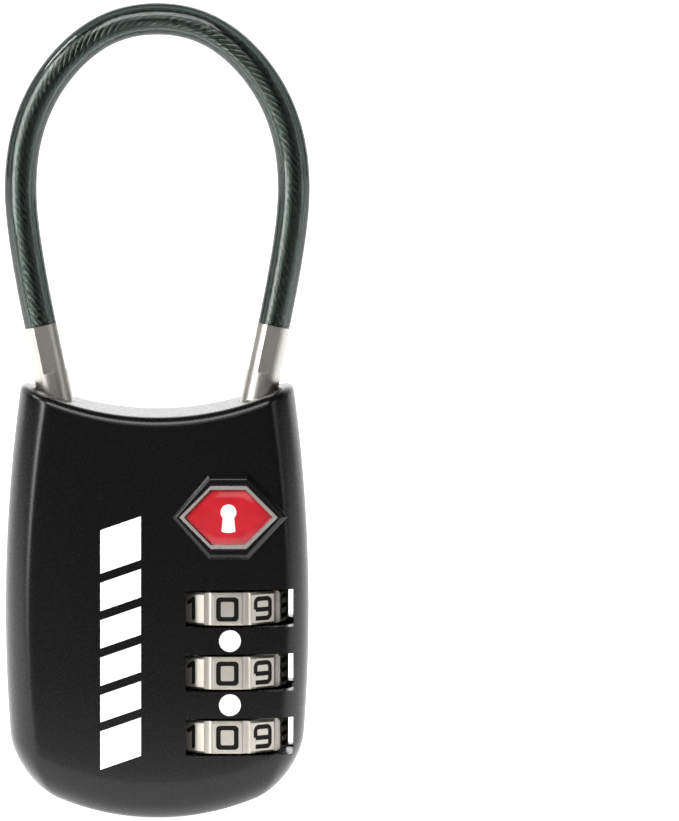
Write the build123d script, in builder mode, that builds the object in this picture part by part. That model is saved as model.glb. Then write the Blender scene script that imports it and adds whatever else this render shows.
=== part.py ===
"""A luggage padlock with a steel-cable shackle, three number dials and a key cylinder.

The lock stands upright: +X is to its right, +Y to its back and +Z up. The origin is under the
middle of the case, at its lowest point. All sizes are in millimetres.

The right end of the shackle is the free end. A bolt enters the groove of its stem, and the bolt is
moved by a cam plate on top of a spindle. The spindle has three fins, which can pass the webs of
three sleeves only while every web's slot faces its fin. Each sleeve turns with a number dial. The
left end of the shackle is held by the hook of a key cylinder. The parts are drawn with the dials
on their opening number, the shackle closed and the bolt drawn back.
"""

import os
from math import cos, radians, sin, tan

from build123d import *

os.makedirs("parts", exist_ok=True)

# ---------------------------------------------------------------- driving dimensions
# case
case_width = 30.0
widest_height = 20.5  # height at which the case is widest
side_radius = 160.0  # bow of the case's two sides
crown_radius = 82.0
front_depth = 6.0  # from the shackle's plane to the crown of the front
back_depth = 6.3  # and to the flat back
front_end_radius = 5.4
back_corner_radius = 5.0
top_middle = 40.0  # height of the lowest point of the hollow top
top_radius = 30.0
bottom_radius = 26.5
top_rim_fillet = 1.0
bottom_rim_fillet = 4.0
wall = 1.4
parting = 2.5  # the two shells meet on this plane
lip_height = 1.2
lip_thickness = 0.7

# shackle
cable_diameter = 3.2
core_diameter = 1.9
leg_tilt = 11.8  # degrees from upright
leg_x = 10.54  # place of each leg's axis at leg_height
leg_height = 44.0
first_run = 7.4  # of the cable's route, straight on from the ferrule
route = [(13.7, 64.05), (12.06, 70.66), (8.16, 76.03), (3.19, 78.9)]  # right side, x and z
ferrule_diameter = 3.44
crimp_flats = 3.16
crimp_length = 4.75
ferrule_below = 4.0  # round part of the ferrule, under the crimp
stem_diameter = 3.0
stem_length = 9.1  # under the ferrule
groove_diameter = 1.3
groove_low = 7.85  # groove's two flanks, under the ferrule
groove_high = 6.05

# dials
dial_x = 6.9
dial_y = -0.2
dial_diameter = 12.2
dial_flats = 11.9
dial_thickness = 3.2
dial_pitch = 6.35
lowest_dial = 8.4
positions = 10
groove_depth = 0.35
groove_radius = 0.5
dial_chamfer = 0.22
digit_half_width = 0.88
digit_half_height = 0.97
digit_stroke = 0.46
digit_bend = 0.4
digit_depth = 0.22
enamel_below_surface = 0.05
slot_left = 2.8
slot_right = 13.45
slot_gap = 0.25  # above and below a dial

# sleeves
sleeve_radius = 3.0
sleeve_gap = 0.05
flange_radius = 4.2
flange_low = -0.45  # flange's two faces, from the dial's middle
flange_high = 0.55
clutch_tooth_width = 0.7
clutch_root_radius = 3.7
web_thickness = 1.4
pocket_radius = 2.45

# spindle, cam plate and bolt
spindle_radius = 1.25
spindle_bottom = 9.0
fin_width = 0.8
fin_height = 0.9
fin_radius = 2.25
fin_clearance = 0.15
spindle_travel = 2.6
cam_plate_bottom = 29.2
cam_plate_flange = 1.0
cam_plate_left = 0.7
cam_plate_right = 4.7
cam_plate_top = 37.4
bolt_height = 33.5
bolt_thickness = 1.2
bolt_travel = 0.9
bolt_tip = 6.5
bolt_pin_x = 2.2
bolt_pin_radius = 0.6
spring_seat = -2.0  # where the bolt's spring rests

# reset bracket
reset_travel = 1.3
bracket_plate = 0.8
button_radius = 0.9

# key cylinder
key_x = -6.6
key_height = 27.4
cylinder_radius = 3.6
cylinder_front = 1.0
plug_radius = 2.5
hook_top = 33.85

# badge
badge_x = 7.0
badge_height = 30.2
badge_half_width = 5.8
badge_half_height = 4.25
badge_flat = 2.0  # half of the hexagon's level side
badge_bevel = 0.42
badge_face = 6.3
plate_half_width = 4.85
plate_half_height = 3.1
plate_flat = 1.75
pocket_depth = 0.7
frame_width = 0.36

# index dots and rivets
dot_radius = 1.08
dot_depth = 0.25
dot_x = 7.15
rivet_places = [(-8.6, 7.4), (-8.8, 18.6), (-2.0, 36.1)]
rivet_radius = 0.8
rivet_head = 1.35

running = 0.06  # radial clearance of turning and sliding fits

# ---------------------------------------------------------------- places worked out from them
half_width = case_width / 2
top_centre = top_middle + top_radius
tilt = radians(leg_tilt)
dial_heights = [lowest_dial + dial_pitch * n for n in range(3)]
dial_names = ["lower", "middle", "upper"]
web_top = dial_pitch / 2 - sleeve_gap / 2  # from the dial's middle
web_bottom = web_top - web_thickness
fin_bottom = web_top + fin_clearance


def leg_plane(side):
    """The plane across a leg of the shackle at leg_height, its normal up along the leg."""
    return Plane(
        origin=(side * leg_x, 0, leg_height),
        x_dir=(cos(tilt), 0, -side * sin(tilt)),
        z_dir=(side * sin(tilt), 0, cos(tilt)),
    )


def facing_front(x, y, z):
    """A plane through a point, its normal to the front."""
    return Plane(origin=(x, y, z), x_dir=(1, 0, 0), z_dir=(0, -1, 0))


# ---------------------------------------------------------------- the case's form
def case_form(inset, top_fillet=0.0, bottom_fillet=0.0):
    """The whole case as one solid, taken in by inset on every side."""
    bow_centre = side_radius - half_width
    front, back = front_depth - inset, back_depth - inset
    with BuildPart() as form:
        with BuildSketch(Plane.XZ.offset(-back)):
            with Locations((0, bottom_radius)):
                Circle(bottom_radius - inset)
            with Locations((-bow_centre, widest_height)):
                Circle(side_radius - inset, mode=Mode.INTERSECT)
            with Locations((bow_centre, widest_height)):
                Circle(side_radius - inset, mode=Mode.INTERSECT)
            with Locations((0, top_centre)):
                Circle(top_radius + inset, mode=Mode.SUBTRACT)
        extrude(amount=front + back)
        sides = form.faces().sort_by(Axis.X)
        side_edges = [face.edges().sort_by(Axis.Y) for face in (sides[0], sides[-1])]
        fillet([edges[0] for edges in side_edges], front_end_radius - inset)
        sides = form.faces().sort_by(Axis.X)
        side_edges = [face.edges().sort_by(Axis.Y) for face in (sides[0], sides[-1])]
        fillet([edges[-1] for edges in side_edges], back_corner_radius - inset)
        if bottom_fillet:
            ends = form.faces().filter_by(GeomType.CYLINDER).sort_by(Axis.Z)
            fillet(ends[0].edges(), bottom_fillet)
        if top_fillet:
            ends = form.faces().filter_by(GeomType.CYLINDER).sort_by(Axis.Z)
            fillet(ends[-1].edges(), top_fillet)
        with BuildSketch(Plane.XY.offset(-5)):
            with Locations((0, crown_radius - front_depth)):
                Circle(crown_radius - inset)
        extrude(amount=top_middle + 15, mode=Mode.INTERSECT)
    return form.part


outer_form = case_form(0.0, top_rim_fillet, bottom_rim_fillet)
cavity = case_form(wall, 0.0, bottom_rim_fillet - wall)
lip_outside = case_form(wall + running, 0.0, bottom_rim_fillet - wall - running)
lip_inside = case_form(wall + lip_thickness, 0.0, bottom_rim_fillet - wall - lip_thickness)


def openings_in_case():
    """What is cut from both shells: the dial slots, room for the dials and the leg holes."""
    middle = (slot_left + slot_right) / 2
    height = dial_thickness + 2 * slot_gap
    with BuildPart() as cutter:
        for z in dial_heights:
            with Locations((middle, 0, z)):
                Box(slot_right - slot_left, 4 * back_depth, height)
            with Locations((dial_x, dial_y, z)):
                Cylinder(dial_diameter / 2 + 0.25, height)
        for side in (-1, 1):
            with BuildSketch(leg_plane(side).offset(-ferrule_below - 4)):
                Circle(ferrule_diameter / 2 + running)
            extrude(amount=ferrule_below + 8)
    return cutter.part


case_openings = openings_in_case()


def hexagon(half_w, half_h, flat):
    """The badge's long hexagon, which points left and right."""
    corners = [(-half_w, 0), (-flat, half_h), (flat, half_h)]
    Polygon(*corners, *[(-x, -y) for x, y in corners], align=None)


def block(x_range, y_range, z_range):
    """An upright box between pairs of limits, added to the part in hand."""
    (x0, x1), (y0, y1), (z0, z1) = x_range, y_range, z_range
    with Locations(((x0 + x1) / 2, (y0 + y1) / 2, (z0 + z1) / 2)):
        Box(x1 - x0, y1 - y0, z1 - z0)


def coil(bottom, length, radius, wire, turns):
    """A coil spring standing on bottom, wound about Z, with its wire's middle at radius."""
    with BuildPart() as made:
        with BuildLine() as path:
            Helix(pitch=(length - wire) / turns, height=length - wire, radius=radius)
        with BuildSketch(Plane(origin=path.line @ 0, z_dir=path.line % 0)):
            Circle(wire / 2)
        sweep(is_frenet=True)
    return made.part.moved(Location((bottom[0], bottom[1], bottom[2] + wire / 2)))


# ---------------------------------------------------------------- case shells
inner_front = -front_depth  # posts and ribs start here and are trimmed by the form
bolt_low, bolt_high = bolt_height - bolt_thickness / 2, bolt_height + bolt_thickness / 2

with BuildPart() as front_inside:
    for x, height in rivet_places:
        with BuildSketch(facing_front(x, parting, height)):
            Circle(rivet_radius + 0.8)
        extrude(amount=parting - inner_front)
    block((spring_seat - 0.6, spring_seat), (inner_front, 1.0), (bolt_low, bolt_high + 0.3))
    block((4.9, 6.3), (inner_front, 1.1), (bolt_high + running, bolt_high + 0.9))
    block((4.9, 6.3), (inner_front, 1.1), (bolt_low - 0.9, bolt_low - running))
    block((-2.2, -1.3), (inner_front, 0.6), (5.0, 24.0))
    add(outer_form, mode=Mode.INTERSECT)
    for x, height in rivet_places:
        with BuildSketch(facing_front(x, parting, height)):
            Circle(rivet_radius)
        extrude(amount=4.0, mode=Mode.SUBTRACT)

badge_foot = badge_face - badge_bevel
with BuildPart() as front_case:
    add(outer_form)
    with BuildSketch(facing_front(badge_x, -badge_foot, badge_height)):
        hexagon(badge_half_width, badge_half_height, badge_flat)
    with BuildSketch(facing_front(badge_x, -badge_face, badge_height)):
        hexagon(badge_half_width - badge_bevel, badge_half_height - badge_bevel, badge_flat)
    loft()
    with BuildSketch(facing_front(badge_x, -badge_foot, badge_height)):
        hexagon(badge_half_width, badge_half_height, badge_flat)
    extrude(amount=-2.5)
    add(cavity, mode=Mode.SUBTRACT)
    block_depth = 2 * back_depth
    with Locations((0, parting + block_depth / 2, top_middle / 2)):
        Box(3 * half_width, block_depth, 2 * top_middle, mode=Mode.SUBTRACT)
    add(front_inside.part)
    with BuildSketch(facing_front(badge_x, -badge_face, badge_height)):
        hexagon(plate_half_width + 0.05, plate_half_height + 0.05, plate_flat)
    extrude(amount=-pocket_depth, mode=Mode.SUBTRACT)
    add(case_openings, mode=Mode.SUBTRACT)
    for n in range(2):
        height = (dial_heights[n] + dial_heights[n + 1]) / 2
        with BuildSketch(facing_front(dot_x, dot_depth - front_depth + 0.3, height)):
            Circle(dot_radius)
        extrude(amount=2.0, mode=Mode.SUBTRACT)
front_case.part.label = "front_case"
export_step(front_case.part, "parts/front_case.step")

with BuildPart() as index_dots:
    for n in range(2):
        height = (dial_heights[n] + dial_heights[n + 1]) / 2
        with BuildSketch(facing_front(dot_x, dot_depth - front_depth + 0.3, height)):
            Circle(dot_radius)
        extrude(amount=2.0)
    add(outer_form, mode=Mode.INTERSECT)
index_dots.part.label = "index_dots"
export_step(index_dots.part, "parts/index_dots.step")

with BuildPart() as lip:
    add(lip_outside)
    with Locations((0, parting - lip_height / 2, top_middle / 2)):
        Box(3 * half_width, lip_height, 2 * top_middle, mode=Mode.INTERSECT)
    for x, height in rivet_places:
        with BuildSketch(facing_front(x, parting, height)):
            Circle(rivet_radius + 0.8 + running)
        extrude(amount=lip_height, mode=Mode.SUBTRACT)
    with Locations((half_width, parting, dial_heights[1])):  # no lip beside the dials
        Box(half_width, 4 * lip_height, 2 * dial_pitch + dial_thickness + 2, mode=Mode.SUBTRACT)
    add(lip_inside, mode=Mode.SUBTRACT)

with BuildPart() as cover_cavity:  # behind the lip's root the wall has its full thickness only
    add(cavity)
    with Locations((0, parting + lip_height + back_depth, top_middle / 2)):
        Box(3 * half_width, 2 * back_depth, 2 * top_middle, mode=Mode.INTERSECT)

button_x, button_z = -0.6, 22.6
reset_seat_top = 6.0
with BuildPart() as back_cover:
    add(outer_form)
    add(cover_cavity.part, mode=Mode.SUBTRACT)
    add(lip_inside, mode=Mode.SUBTRACT)
    for x, height in rivet_places:
        with BuildSketch(facing_front(x, back_depth - 0.2, height)):
            Circle(rivet_radius + 0.8)
        extrude(amount=back_depth - 0.2 - parting)
    with BuildSketch(facing_front(key_x, back_depth - 0.2, key_height)):
        Circle(cylinder_radius + 0.8)
    extrude(amount=back_depth - 0.2 - 3.4)
    with Locations((0, parting - block_depth / 2, top_middle / 2)):
        Box(3 * half_width, block_depth, 2 * top_middle, mode=Mode.SUBTRACT)
    block((-4.2, -1.2), (1.2, back_depth - 0.5), (reset_seat_top - 1.2, reset_seat_top))
    add(lip.part)
    add(case_openings, mode=Mode.SUBTRACT)
    for x, height in rivet_places:
        with BuildSketch(facing_front(x, back_depth, height)):
            Circle(rivet_radius)
        extrude(amount=back_depth, mode=Mode.SUBTRACT)
        with BuildSketch(facing_front(x, back_depth, height)):
            Circle(rivet_head)
        extrude(amount=0.6, mode=Mode.SUBTRACT)
    with BuildSketch(facing_front(key_x, back_depth, key_height)):
        Circle(cylinder_radius)
    extrude(amount=back_depth, mode=Mode.SUBTRACT)
    with BuildSketch(facing_front(button_x, back_depth + 1, button_z - reset_travel / 2)):
        SlotCenterToCenter(reset_travel, 2 * (button_radius + running), rotation=90)
    extrude(amount=3.0, mode=Mode.SUBTRACT)
back_cover.part.label = "back_cover"
export_step(back_cover.part, "parts/back_cover.step")

with BuildPart() as rivets:
    for x, height in rivet_places:
        with BuildSketch(facing_front(x, back_depth - 0.05, height)):
            Circle(rivet_head)
        extrude(amount=0.55)
        with BuildSketch(facing_front(x, back_depth - 0.6, height)):
            Circle(rivet_radius)
        extrude(amount=back_depth - 0.6 - parting + 3.6)
rivets.part.label = "rivets"
export_step(rivets.part, "parts/rivets.step")

# ---------------------------------------------------------------- badge
with BuildPart() as badge_plate:
    with BuildSketch(facing_front(badge_x, pocket_depth - badge_face, badge_height)):
        hexagon(plate_half_width, plate_half_height, plate_flat)
    extrude(amount=pocket_depth)
    with BuildSketch(facing_front(badge_x, 0.45 - badge_face, badge_height)):
        inner = plate_half_width - frame_width, plate_half_height - frame_width
        hexagon(inner[0] - 0.1, inner[1], plate_flat)
    extrude(amount=1.0, mode=Mode.SUBTRACT)
badge_plate.part.label = "badge_plate"
export_step(badge_plate.part, "parts/badge_plate.step")

with BuildPart() as badge_enamel:
    with BuildSketch(facing_front(badge_x, 0.45 - badge_face, badge_height)):
        hexagon(inner[0] - 0.12, inner[1] - 0.02, plate_flat)
    extrude(amount=0.35)
    with BuildSketch(facing_front(badge_x, 0.1 - badge_face, badge_height)):
        hexagon(inner[0] - 0.12, inner[1] - 0.02, plate_flat)
    with BuildSketch(facing_front(badge_x, -badge_face, badge_height)):
        hexagon(inner[0] - 0.7, inner[1] - 0.5, plate_flat - 0.15)
    loft()
badge_enamel.part.label = "badge_enamel"
export_step(badge_enamel.part, "parts/badge_enamel.step")

# ---------------------------------------------------------------- dials
w, h = digit_half_width, digit_half_height
numeral_strokes = {
    1: [[(-0.45 * w, 0.6 * h), (0.2 * w, h)], [(0.2 * w, h), (0.2 * w, -h)]],
    2: [[(-w, 0.5 * h), (-w, h), (w, h), (w, 0.1 * h), (-w, -h), (w, -h)]],
    3: [[(-w, h), (w, h), (w, -h), (-w, -h)], [(-0.4 * w, 0), (w, 0)]],
    4: [[(0.45 * w, -h), (0.45 * w, h)], [(0.45 * w, h), (-w, -0.35 * h)], [(-w, -0.35 * h), (w, -0.35 * h)]],
    5: [[(w, h), (-w, h), (-w, 0.1 * h), (w, 0.1 * h), (w, -h), (-w, -h)]],
    6: [[(w, h), (-w, h), (-w, -h), (w, -h), (w, 0.1 * h)], [(w, 0.1 * h), (-w, 0.1 * h)]],
    7: [[(-w, h), (w, h)], [(w, h), (-0.2 * w, -h)]],
    9: [[(-w, -h), (w, -h), (w, h), (-w, h), (-w, -0.1 * h)], [(-w, -0.1 * h), (w, -0.1 * h)]],
}


def numeral(number):
    """A numeral drawn with strokes, lying on the XY plane."""
    with BuildSketch() as made:
        if number in (0, 8):
            RectangleRounded(2 * w + digit_stroke, 2 * h + digit_stroke, digit_bend)
            inside = digit_bend - digit_stroke / 2
            RectangleRounded(2 * w - digit_stroke, 2 * h - digit_stroke, inside, mode=Mode.SUBTRACT)
            if number == 8:
                Rectangle(2 * w, digit_stroke)
        for stroke in numeral_strokes.get(number, []):
            with BuildLine():
                if len(stroke) > 2:
                    FilletPolyline(*stroke, radius=digit_bend)
                else:
                    Line(*stroke)
            trace(line_width=digit_stroke)
            if number in (1, 4, 7):
                with Locations(*stroke):
                    Circle(digit_stroke / 2)
    return made.sketch


def numerals_between(inner_depth, outer_depth):
    """All ten numerals as solids round the dial's axis, between two depths under the flats."""
    with BuildPart() as made:
        for number in range(positions):
            angle = radians(270 - 360 / positions * number)
            out = (cos(angle), sin(angle))
            depth = dial_flats / 2 - inner_depth
            pad = Plane(
                origin=(out[0] * depth, out[1] * depth, 0),
                x_dir=(-out[1], out[0], 0),
                z_dir=(out[0], out[1], 0),
            )
            with BuildSketch(pad):
                add(numeral(number))
            extrude(amount=inner_depth - outer_depth)
    return made.part


clutch_cut = clutch_root_radius + running
with BuildPart() as dial:
    with BuildSketch():
        RegularPolygon(dial_flats / 2, positions, major_radius=False)
        Circle(dial_diameter / 2, mode=Mode.INTERSECT)
    extrude(amount=dial_thickness / 2, both=True)
    flat_faces = dial.faces().filter_by(Axis.Z)
    chamfer(flat_faces.edges(), dial_chamfer)
    with BuildSketch(Plane.XY.offset(-dial_thickness)):
        with PolarLocations(dial_diameter / 2 - groove_depth + groove_radius, positions):
            Circle(groove_radius)
    extrude(amount=2 * dial_thickness, mode=Mode.SUBTRACT)
    with BuildSketch(Plane.XY.offset(-dial_thickness)):
        Circle(clutch_cut)
        with PolarLocations(clutch_cut, positions):
            Rectangle(1.0 + 2 * running, clutch_tooth_width + 2 * running)
    extrude(amount=2 * dial_thickness, mode=Mode.SUBTRACT)
    with BuildSketch(Plane.XY.offset(flange_low - 0.15)):
        Circle(flange_radius + 0.1)
    extrude(amount=-dial_thickness, mode=Mode.SUBTRACT)
    add(numerals_between(digit_depth, -1.0), mode=Mode.SUBTRACT)
enamel = numerals_between(digit_depth, enamel_below_surface)

for name, height in zip(dial_names, dial_heights):
    place = Location((dial_x, dial_y, height))
    turned = dial.part.moved(place)
    turned.label = f"dial_{name}"
    export_step(turned, f"parts/dial_{name}.step")
    numbers = enamel.moved(place)
    numbers.label = f"numerals_{name}"
    export_step(numbers, f"parts/numerals_{name}.step")

# ---------------------------------------------------------------- sleeves
with BuildPart() as sleeve:
    with BuildSketch(Plane.XY.offset(-web_top)):
        Circle(sleeve_radius)
    extrude(amount=2 * web_top)
    with BuildSketch(Plane.XY.offset(flange_low)):
        Circle(clutch_root_radius)
        with PolarLocations(clutch_root_radius, positions):
            Rectangle(2 * (flange_radius - clutch_root_radius), clutch_tooth_width)
        Circle(flange_radius, mode=Mode.INTERSECT)
    extrude(amount=flange_high - flange_low)
    with BuildSketch(Plane.XY.offset(-web_top)):
        Circle(pocket_radius)
    extrude(amount=web_bottom + web_top, mode=Mode.SUBTRACT)
    with BuildSketch(Plane.XY.offset(web_bottom)):
        Circle(spindle_radius + running)
        with Locations((-(fin_radius + running) / 2, 0)):
            Rectangle(fin_radius + running, fin_width + 2 * running)
    extrude(amount=web_thickness, mode=Mode.SUBTRACT)

for name, height in zip(dial_names, dial_heights):
    placed = sleeve.part.moved(Location((dial_x, dial_y, height)))
    placed.label = f"sleeve_{name}"
    export_step(placed, f"parts/sleeve_{name}.step")

# ---------------------------------------------------------------- spindle, cam plate and bolt
with BuildPart() as spindle:
    with BuildSketch(Plane.XY.offset(spindle_bottom)):
        with Locations((dial_x, dial_y)):
            Circle(spindle_radius)
    extrude(amount=cam_plate_bottom - spindle_bottom)
    with BuildSketch(Plane.XY.offset(cam_plate_bottom)):
        with Locations((dial_x, dial_y)):
            Circle(spindle_radius - 0.4)
    extrude(amount=cam_plate_flange + 0.3)
    for height in dial_heights:
        with BuildSketch(Plane.XY.offset(height + fin_bottom)):
            with Locations((dial_x - fin_radius / 2, dial_y)):
                Rectangle(fin_radius, fin_width)
        extrude(amount=fin_height)
spindle.part.label = "spindle"
export_step(spindle.part, "parts/spindle.step")

cam_front = -2.2
cam_thick = 1.0
with BuildPart() as cam_plate:
    block(
        (cam_plate_left, dial_x + 1.6),
        (cam_front, 1.2),
        (cam_plate_bottom, cam_plate_bottom + cam_plate_flange),
    )
    block((cam_plate_left, cam_plate_right), (cam_front, cam_front + cam_thick), (30.0, cam_plate_top))
    with Locations((dial_x, dial_y, cam_plate_bottom)):
        Cylinder(spindle_radius - 0.4, 4 * cam_plate_flange, mode=Mode.SUBTRACT)
    with BuildSketch(facing_front(bolt_pin_x, 0, bolt_height)):
        with BuildLine():
            Line((0, 0), (bolt_travel, spindle_travel))
        trace(line_width=2 * (bolt_pin_radius + running))
        with Locations((0, 0), (bolt_travel, spindle_travel)):
            Circle(bolt_pin_radius + running)
    extrude(amount=4.0, mode=Mode.SUBTRACT)
cam_plate.part.label = "cam_plate"
export_step(cam_plate.part, "parts/cam_plate.step")

bolt_left = 0.3
with BuildPart() as bolt:
    block((bolt_left, bolt_tip), (-1.1, 1.1), (bolt_low, bolt_high))
    with BuildSketch(facing_front(bolt_pin_x, 0, bolt_height)):
        Circle(bolt_pin_radius - 0.2)
    extrude(amount=2.0, mode=Mode.SUBTRACT)
bolt.part.label = "bolt"
export_step(bolt.part, "parts/bolt.step")

with BuildPart() as bolt_pin:
    with BuildSketch(facing_front(bolt_pin_x, 0, bolt_height)):
        Circle(bolt_pin_radius - 0.2)
    extrude(amount=1.1)
    with BuildSketch(facing_front(bolt_pin_x, -1.1, bolt_height)):
        Circle(bolt_pin_radius)
    extrude(amount=1.4)
bolt_pin.part.label = "bolt_pin"
export_step(bolt_pin.part, "parts/bolt_pin.step")

lying = coil((0, 0, 0), bolt_left - spring_seat, 0.42, 0.18, 6)
with BuildPart() as bolt_spring:
    add(lying.moved(Location((spring_seat, 0, bolt_height), (0, 90, 0))))
bolt_spring.part.label = "bolt_spring"
export_step(bolt_spring.part, "parts/bolt_spring.step")

# ---------------------------------------------------------------- reset bracket and detent
stack_top = dial_heights[-1] + web_top
stack_bottom = dial_heights[0] - web_top
web_left = -1.0
web_y = (0.9, 3.5)
ear_height = 12.0
with BuildPart() as reset_bracket:
    with BuildSketch(Plane.XY.offset(stack_top + sleeve_gap)):
        with Locations((dial_x, dial_y)):
            Circle(sleeve_radius)
        with Locations(((web_left + dial_x) / 2, (web_y[1] - 2.9) / 2)):
            Rectangle(dial_x - web_left, web_y[1] + 2.9)
        with Locations((dial_x, dial_y)):
            Circle(fin_radius + 0.2, mode=Mode.SUBTRACT)
    extrude(amount=bracket_plate)
    block((web_left, 8.5), (-2.0, 1.2), (stack_bottom - sleeve_gap - bracket_plate, stack_bottom - sleeve_gap))
    block(
        (web_left, web_left + bracket_plate),
        web_y,
        (stack_bottom - sleeve_gap - bracket_plate, stack_top + sleeve_gap + bracket_plate),
    )
    block((-4.0, web_left + 0.1), (1.2, web_y[1]), (ear_height, ear_height + bracket_plate))
    with Locations((button_x, web_y[1] + 0.5, button_z)):
        Box(bracket_plate, 1.4, 1.3)
reset_bracket.part.label = "reset_bracket"
export_step(reset_bracket.part, "parts/reset_bracket.step")

with BuildPart() as reset_button:
    with BuildSketch(facing_front(button_x, back_depth, button_z)):
        Circle(button_radius)
    extrude(amount=back_depth - web_y[1] - 0.05)
    with Locations((button_x, web_y[1] + 0.5, button_z)):
        Box(bracket_plate, 1.4, 4.0, mode=Mode.SUBTRACT)
reset_button.part.label = "reset_button"
export_step(reset_button.part, "parts/reset_button.step")

with BuildPart() as reset_spring:
    add(coil((-2.6, 2.35, reset_seat_top), ear_height - reset_seat_top, 0.85, 0.25, 8))
reset_spring.part.label = "reset_spring"
export_step(reset_spring.part, "parts/reset_spring.step")

detent_x = dial_x - (dial_diameter / 2 - groove_depth + groove_radius)
with BuildPart() as detent_spring:
    block((-1.3, -1.08), (-1.0, 0.6), (5.2, 23.8))
    for height in dial_heights:
        with BuildSketch(facing_front(0, 0.4, height)):
            with BuildLine():
                Polyline((-1.2, -2.7), (0.25, -1.0), (0.4, 0.7))
            trace(line_width=0.2)
        extrude(amount=1.2)
        with Locations((detent_x, dial_y, height)):
            Cylinder(groove_radius - 0.1, 1.6)
detent_spring.part.label = "detent_spring"
export_step(detent_spring.part, "parts/detent_spring.step")

# ---------------------------------------------------------------- key cylinder and hook
cylinder_back = back_depth - 0.1
with BuildPart() as cylinder_housing:
    with BuildSketch(facing_front(key_x, cylinder_back, key_height)):
        Circle(cylinder_radius)
        Circle(plug_radius + running, mode=Mode.SUBTRACT)
    extrude(amount=cylinder_back - cylinder_front)
cylinder_housing.part.label = "cylinder_housing"
export_step(cylinder_housing.part, "parts/cylinder_housing.step")

wafer_places = [2.0, 3.0, 4.0, 5.0]
hook_half = 0.9
with BuildPart() as key_plug:
    with BuildSketch(facing_front(key_x, back_depth - 0.25, key_height)):
        Circle(plug_radius)
    extrude(amount=back_depth - 0.25 - hook_half - 0.02)
    with Locations((key_x, 0, key_height)):
        Box(1.6, 2 * hook_half + 0.06, 1.6)
    block((key_x - 0.45, key_x + 0.45), (1.5, back_depth), (key_height - 1.3, key_height + 1.3))
    for y in wafer_places:
        with Locations((key_x, y, key_height)):
            Box(2.0, 0.6, 6.0, mode=Mode.SUBTRACT)
    with Locations((key_x, back_depth, key_height)):
        Box(0.9, 2 * (back_depth - 1.6), 2.6, mode=Mode.SUBTRACT)
key_plug.part.label = "key_plug"
export_step(key_plug.part, "parts/key_plug.step")

with BuildPart() as wafers:
    for y in wafer_places:
        with Locations((key_x, y, key_height)):
            Box(1.9, 0.5, 4.5)
            Box(1.0, 1.0, 2.7, mode=Mode.SUBTRACT)
wafers.part.label = "wafers"
export_step(wafers.part, "parts/wafers.step")

hook_outer = hook_top - key_height
with BuildPart() as hook:
    with BuildSketch(facing_front(key_x, hook_half, key_height)):
        Circle(hook_outer)
        Circle(hook_outer - 0.95, mode=Mode.SUBTRACT)
        with Locations((0.525, hook_outer)):
            Rectangle(2.85, 4.0, mode=Mode.INTERSECT)
        Circle(2.1)
        with Locations((1.2, hook_outer / 2)):
            Rectangle(1.5, hook_outer - 0.6)
        Rectangle(1.6, 1.6, mode=Mode.SUBTRACT)
    extrude(amount=2 * hook_half)
hook.part.label = "hook"
export_step(hook.part, "parts/hook.step")

with BuildPart() as hook_rivet:
    with BuildSketch(facing_front(key_x, -hook_half - 0.03, key_height)):
        Circle(1.3)
    extrude(amount=0.5)
hook_rivet.part.label = "hook_rivet"
export_step(hook_rivet.part, "parts/hook_rivet.step")

# ---------------------------------------------------------------- shackle
with BuildPart() as ferrule:
    Cylinder(ferrule_diameter / 2, ferrule_below, align=(Align.CENTER, Align.CENTER, Align.MAX))
    with BuildSketch():
        Circle(ferrule_diameter / 2)
        Rectangle(crimp_flats, crimp_flats, mode=Mode.INTERSECT)
    extrude(amount=crimp_length)
    with Locations((0, 0, crimp_length)):
        Cylinder(core_diameter / 2, 2 * (crimp_length - 0.3), mode=Mode.SUBTRACT)
    with Locations((0, 0, -ferrule_below)):
        Cylinder(0.9, 2 * 2.5, mode=Mode.SUBTRACT)

with BuildPart() as stem:
    with Locations((0, 0, -ferrule_below)):
        Cylinder(0.9, 2.5, align=(Align.CENTER, Align.CENTER, Align.MIN))
        Cylinder(stem_diameter / 2, stem_length, align=(Align.CENTER, Align.CENTER, Align.MAX))
    chamfer(stem.edges().sort_by(Axis.Z)[0], 0.45)
    with BuildSketch(Plane.XY.offset(-ferrule_below - groove_low)):
        Circle(stem_diameter)
        Circle(groove_diameter / 2, mode=Mode.SUBTRACT)
    extrude(amount=groove_low - groove_high, mode=Mode.SUBTRACT)

for name, side in (("right", 1), ("left", -1)):
    for piece, made in (("ferrule", ferrule), ("stem", stem)):
        placed = made.part.moved(leg_plane(side).location)
        placed.label = f"{piece}_{name}"
        export_step(placed, f"parts/{piece}_{name}.step")


def cable_route(into_ferrule):
    """The route's points from the right ferrule to the left one, starting inside them if asked."""
    leg = leg_plane(1)
    start = leg.offset(crimp_length - into_ferrule).origin
    first = leg.offset(crimp_length + first_run).origin
    right = [(start.X, start.Z), (first.X, first.Z), *route]
    return [(x, 0, z) for x, z in right] + [(-x, 0, z) for x, z in reversed(right)]


def arc_radii(points):
    """The largest arc at each corner that leaves its neighbours room."""
    radii = []
    for before, corner, after in zip(points, points[1:], points[2:]):
        run_in, run_out = Vector(corner) - Vector(before), Vector(after) - Vector(corner)
        half_turn = radians(run_in.get_angle(run_out)) / 2
        radii.append(0.45 * min(run_in.length, run_out.length) / tan(half_turn))
    return radii


def cable(diameter, into_ferrule):
    """The cable's solid along the loop, from mouth to mouth of the ferrules or a little further."""
    points = cable_route(into_ferrule)
    with BuildPart() as made:
        with BuildLine():
            FilletPolyline(*points, radius=arc_radii(cable_route(0.0)))
        with BuildSketch(leg_plane(1).offset(crimp_length - into_ferrule)):
            Circle(diameter / 2)
        sweep()
    return made.part


print("cable's arcs", [round(radius, 1) for radius in arc_radii(cable_route(0.0))])

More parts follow.
